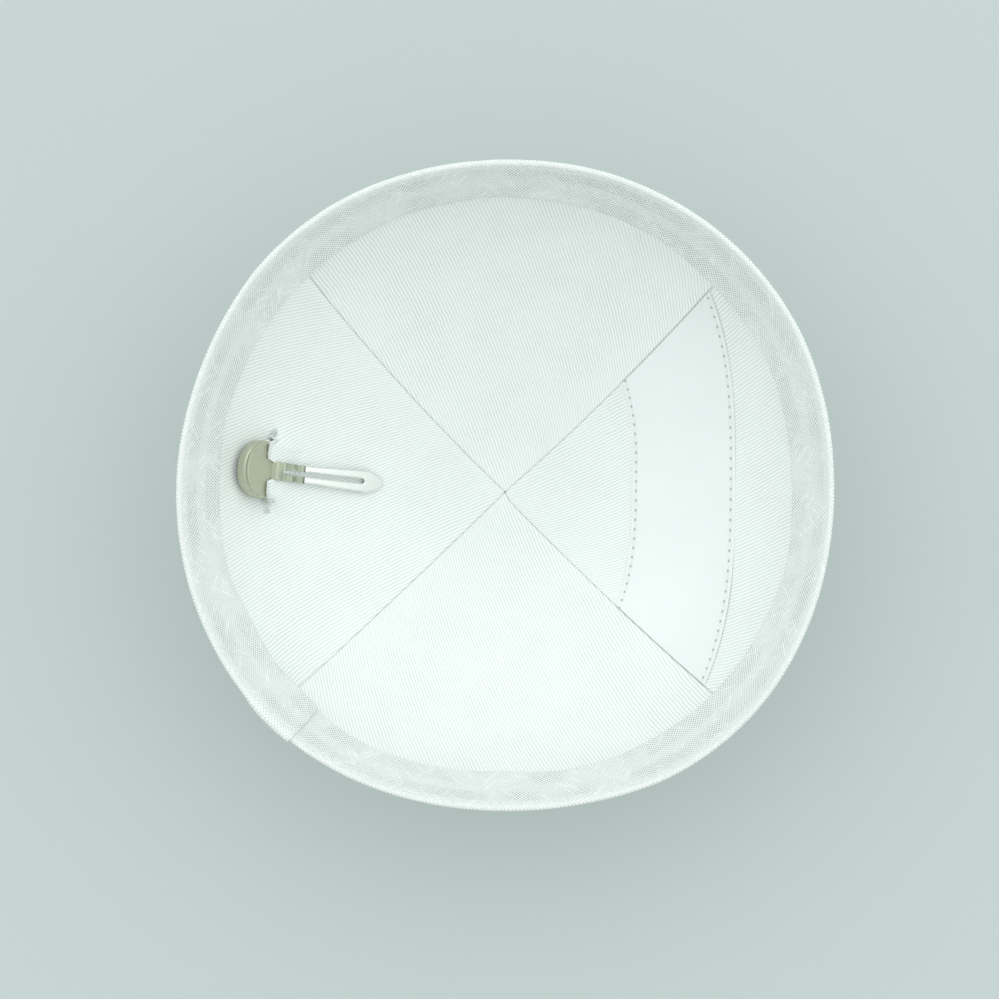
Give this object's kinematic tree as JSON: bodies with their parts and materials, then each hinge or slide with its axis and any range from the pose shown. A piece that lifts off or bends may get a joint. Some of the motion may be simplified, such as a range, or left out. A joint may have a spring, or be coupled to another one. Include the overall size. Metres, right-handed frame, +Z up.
{
  "type": "kippah skullcap",
  "caption": "Lined linen skullcap of triangular gores with a bound rim, an inside ribbon label and a spring hair clip, lying open side up.",
  "frame": {"origin": "floor point under the middle of the cap, which lies on its crown", "axes": "+Z up, out of the open side; +X from the clip's side to the label's side; +Y towards the picture's top"},
  "size_m": [0.1719, 0.1704, 0.0653],
  "materials": {
    "linen": "matt plain-weave linen",
    "lining_twill": "fine cotton twill",
    "satin_ribbon": "smooth satin",
    "nickel": "dull nickel plate",
    "spring_steel": "bright polished"
  },
  "bodies": {
    "root": {"outer_panel_right": "linen", "outer_panel_back": "linen", "outer_panel_left": "linen", "outer_panel_front": "linen", "lining_panel_right": "lining_twill", "lining_panel_back": "lining_twill", "lining_panel_left": "lining_twill", "lining_panel_front": "lining_twill", "rim_binding": "linen", "label_ribbon": "satin_ribbon", "clip_button": "nickel", "clip_strip": "spring_steel"}
  },
  "joints": []
}
